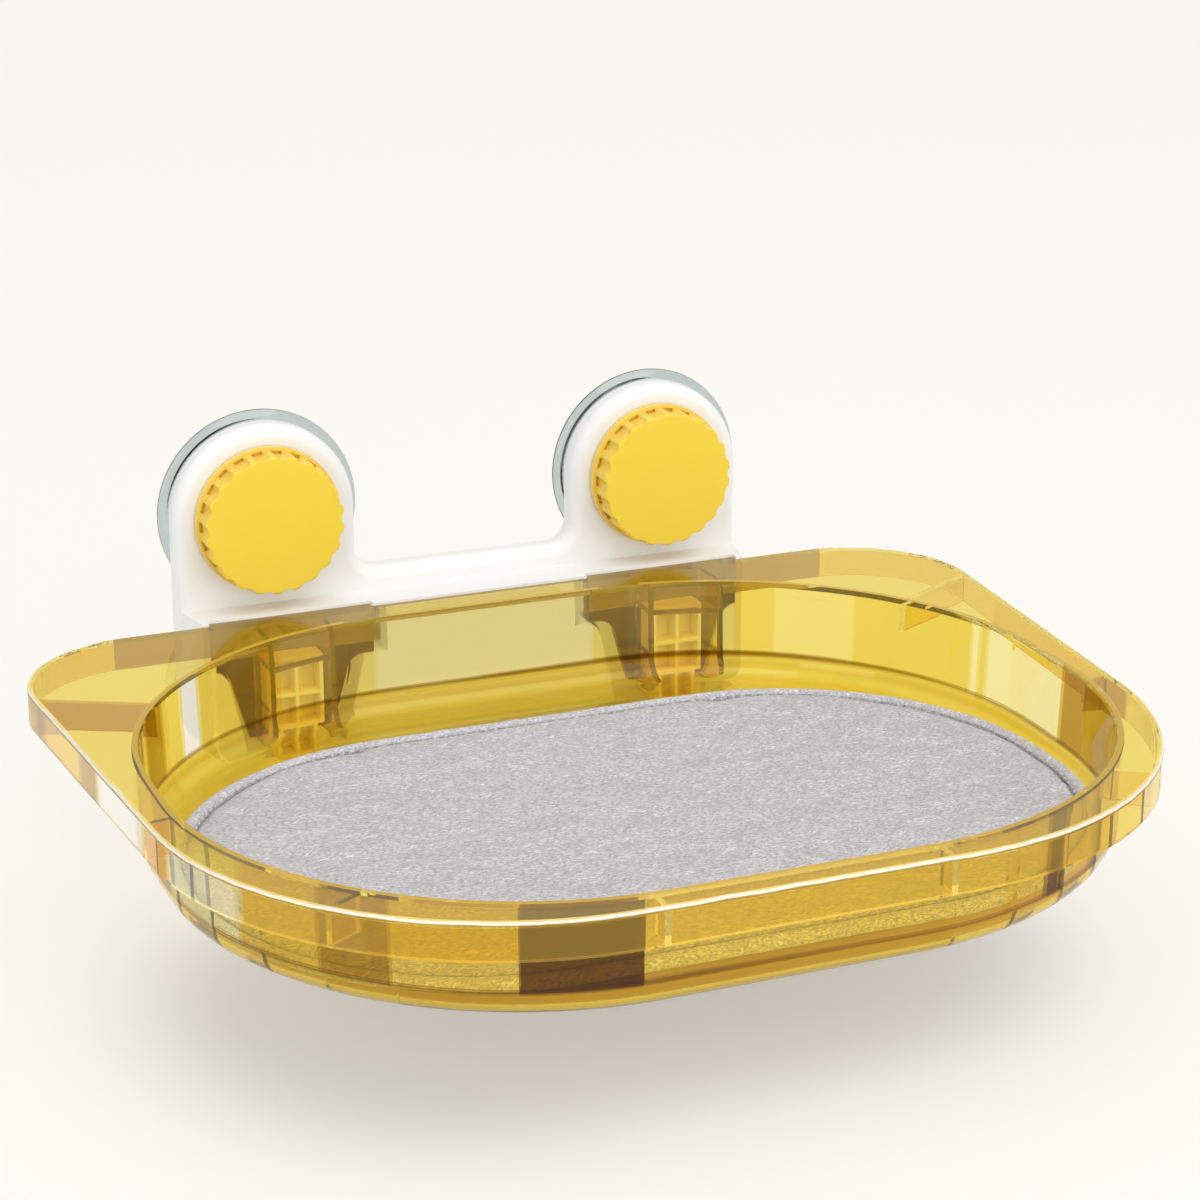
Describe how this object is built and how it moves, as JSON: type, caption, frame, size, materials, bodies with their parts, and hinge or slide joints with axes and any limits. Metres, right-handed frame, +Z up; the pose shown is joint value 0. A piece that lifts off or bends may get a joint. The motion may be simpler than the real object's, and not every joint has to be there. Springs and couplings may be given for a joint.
{
  "type": "window mounted cat perch",
  "caption": "clear oval tray with a fabric mat, hung on a white bracket that two screw-down suction cups hold to a window",
  "frame": {"origin": "on the window, midway between the axes of the two suction cups", "axes": "+Z up, +X to the right along the window as seen from the room, +Y through the window, so the perch lies on the -Y side of the window plane y = 0"},
  "size_m": [0.427, 0.372, 0.151],
  "materials": {
    "clear_yellow": "clear tinted moulded plastic, polished",
    "white_shell": "satin moulded plastic",
    "clear_soft": "clear soft plastic",
    "steel": "zinc plated steel",
    "washer_white": "smooth low friction plastic",
    "knob_yellow": "satin moulded plastic",
    "brass": "turned brass",
    "tongue_yellow": "satin moulded plastic",
    "mat_backing": "dotted non-slip backing",
    "mat_fabric": "short pile felt"
  },
  "bodies": {
    "wall_mount": {"wall_bracket": "white_shell", "suction_cup_left": "clear_soft", "suction_cup_right": "clear_soft", "thrust_washer_left": "washer_white", "thrust_washer_right": "washer_white", "hanger_block_left": "tongue_yellow", "hanger_block_right": "tongue_yellow", "block_screws": "steel", "rest_pads": "clear_soft"},
    "knob_left": {"knob_body_left": "knob_yellow", "knob_cap_left": "knob_yellow", "knob_nut_left": "brass"},
    "knob_right": {"knob_body_right": "knob_yellow", "knob_cap_right": "knob_yellow", "knob_nut_right": "brass"},
    "stud_left": {"cup_stud_left": "steel"},
    "stud_right": {"cup_stud_right": "steel"},
    "tray_body": {"tray": "clear_yellow"},
    "mat": {"mat_base": "mat_backing", "mat_pad": "mat_fabric", "mat_piping": "mat_fabric"}
  },
  "joints": [
    {"name": "tray_lift", "type": "slide", "parent": "wall_mount", "child": "tray_body", "axis": [0, 0, 1], "range_m": [0, 0.06]},
    {"name": "mat_lift", "type": "slide", "parent": "tray_body", "child": "mat", "axis": [0, 0, 1], "range_m": [0, 0.08]},
    {"name": "knob_turn_left", "type": "hinge", "parent": "wall_mount", "child": "knob_left", "pos_m": [-0.092, 0, 0], "axis": [0, -1, 0], "range_deg": [0, 540]},
    {"name": "knob_turn_right", "type": "hinge", "parent": "wall_mount", "child": "knob_right", "pos_m": [0.092, 0, 0], "axis": [0, -1, 0], "range_deg": [0, 540]},
    {"name": "stud_draw_left", "type": "slide", "parent": "wall_mount", "child": "stud_left", "axis": [0, 1, 0], "range_m": [0, 0.003], "deforming": ["suction_cup_left"]},
    {"name": "stud_draw_right", "type": "slide", "parent": "wall_mount", "child": "stud_right", "axis": [0, 1, 0], "range_m": [0, 0.003], "deforming": ["suction_cup_right"]}
  ],
  "couplings": [
    {"joint": "stud_draw_left", "follows": "knob_turn_left", "m_per_rad": 0.00031831},
    {"joint": "stud_draw_right", "follows": "knob_turn_right", "m_per_rad": 0.00031831}
  ]
}
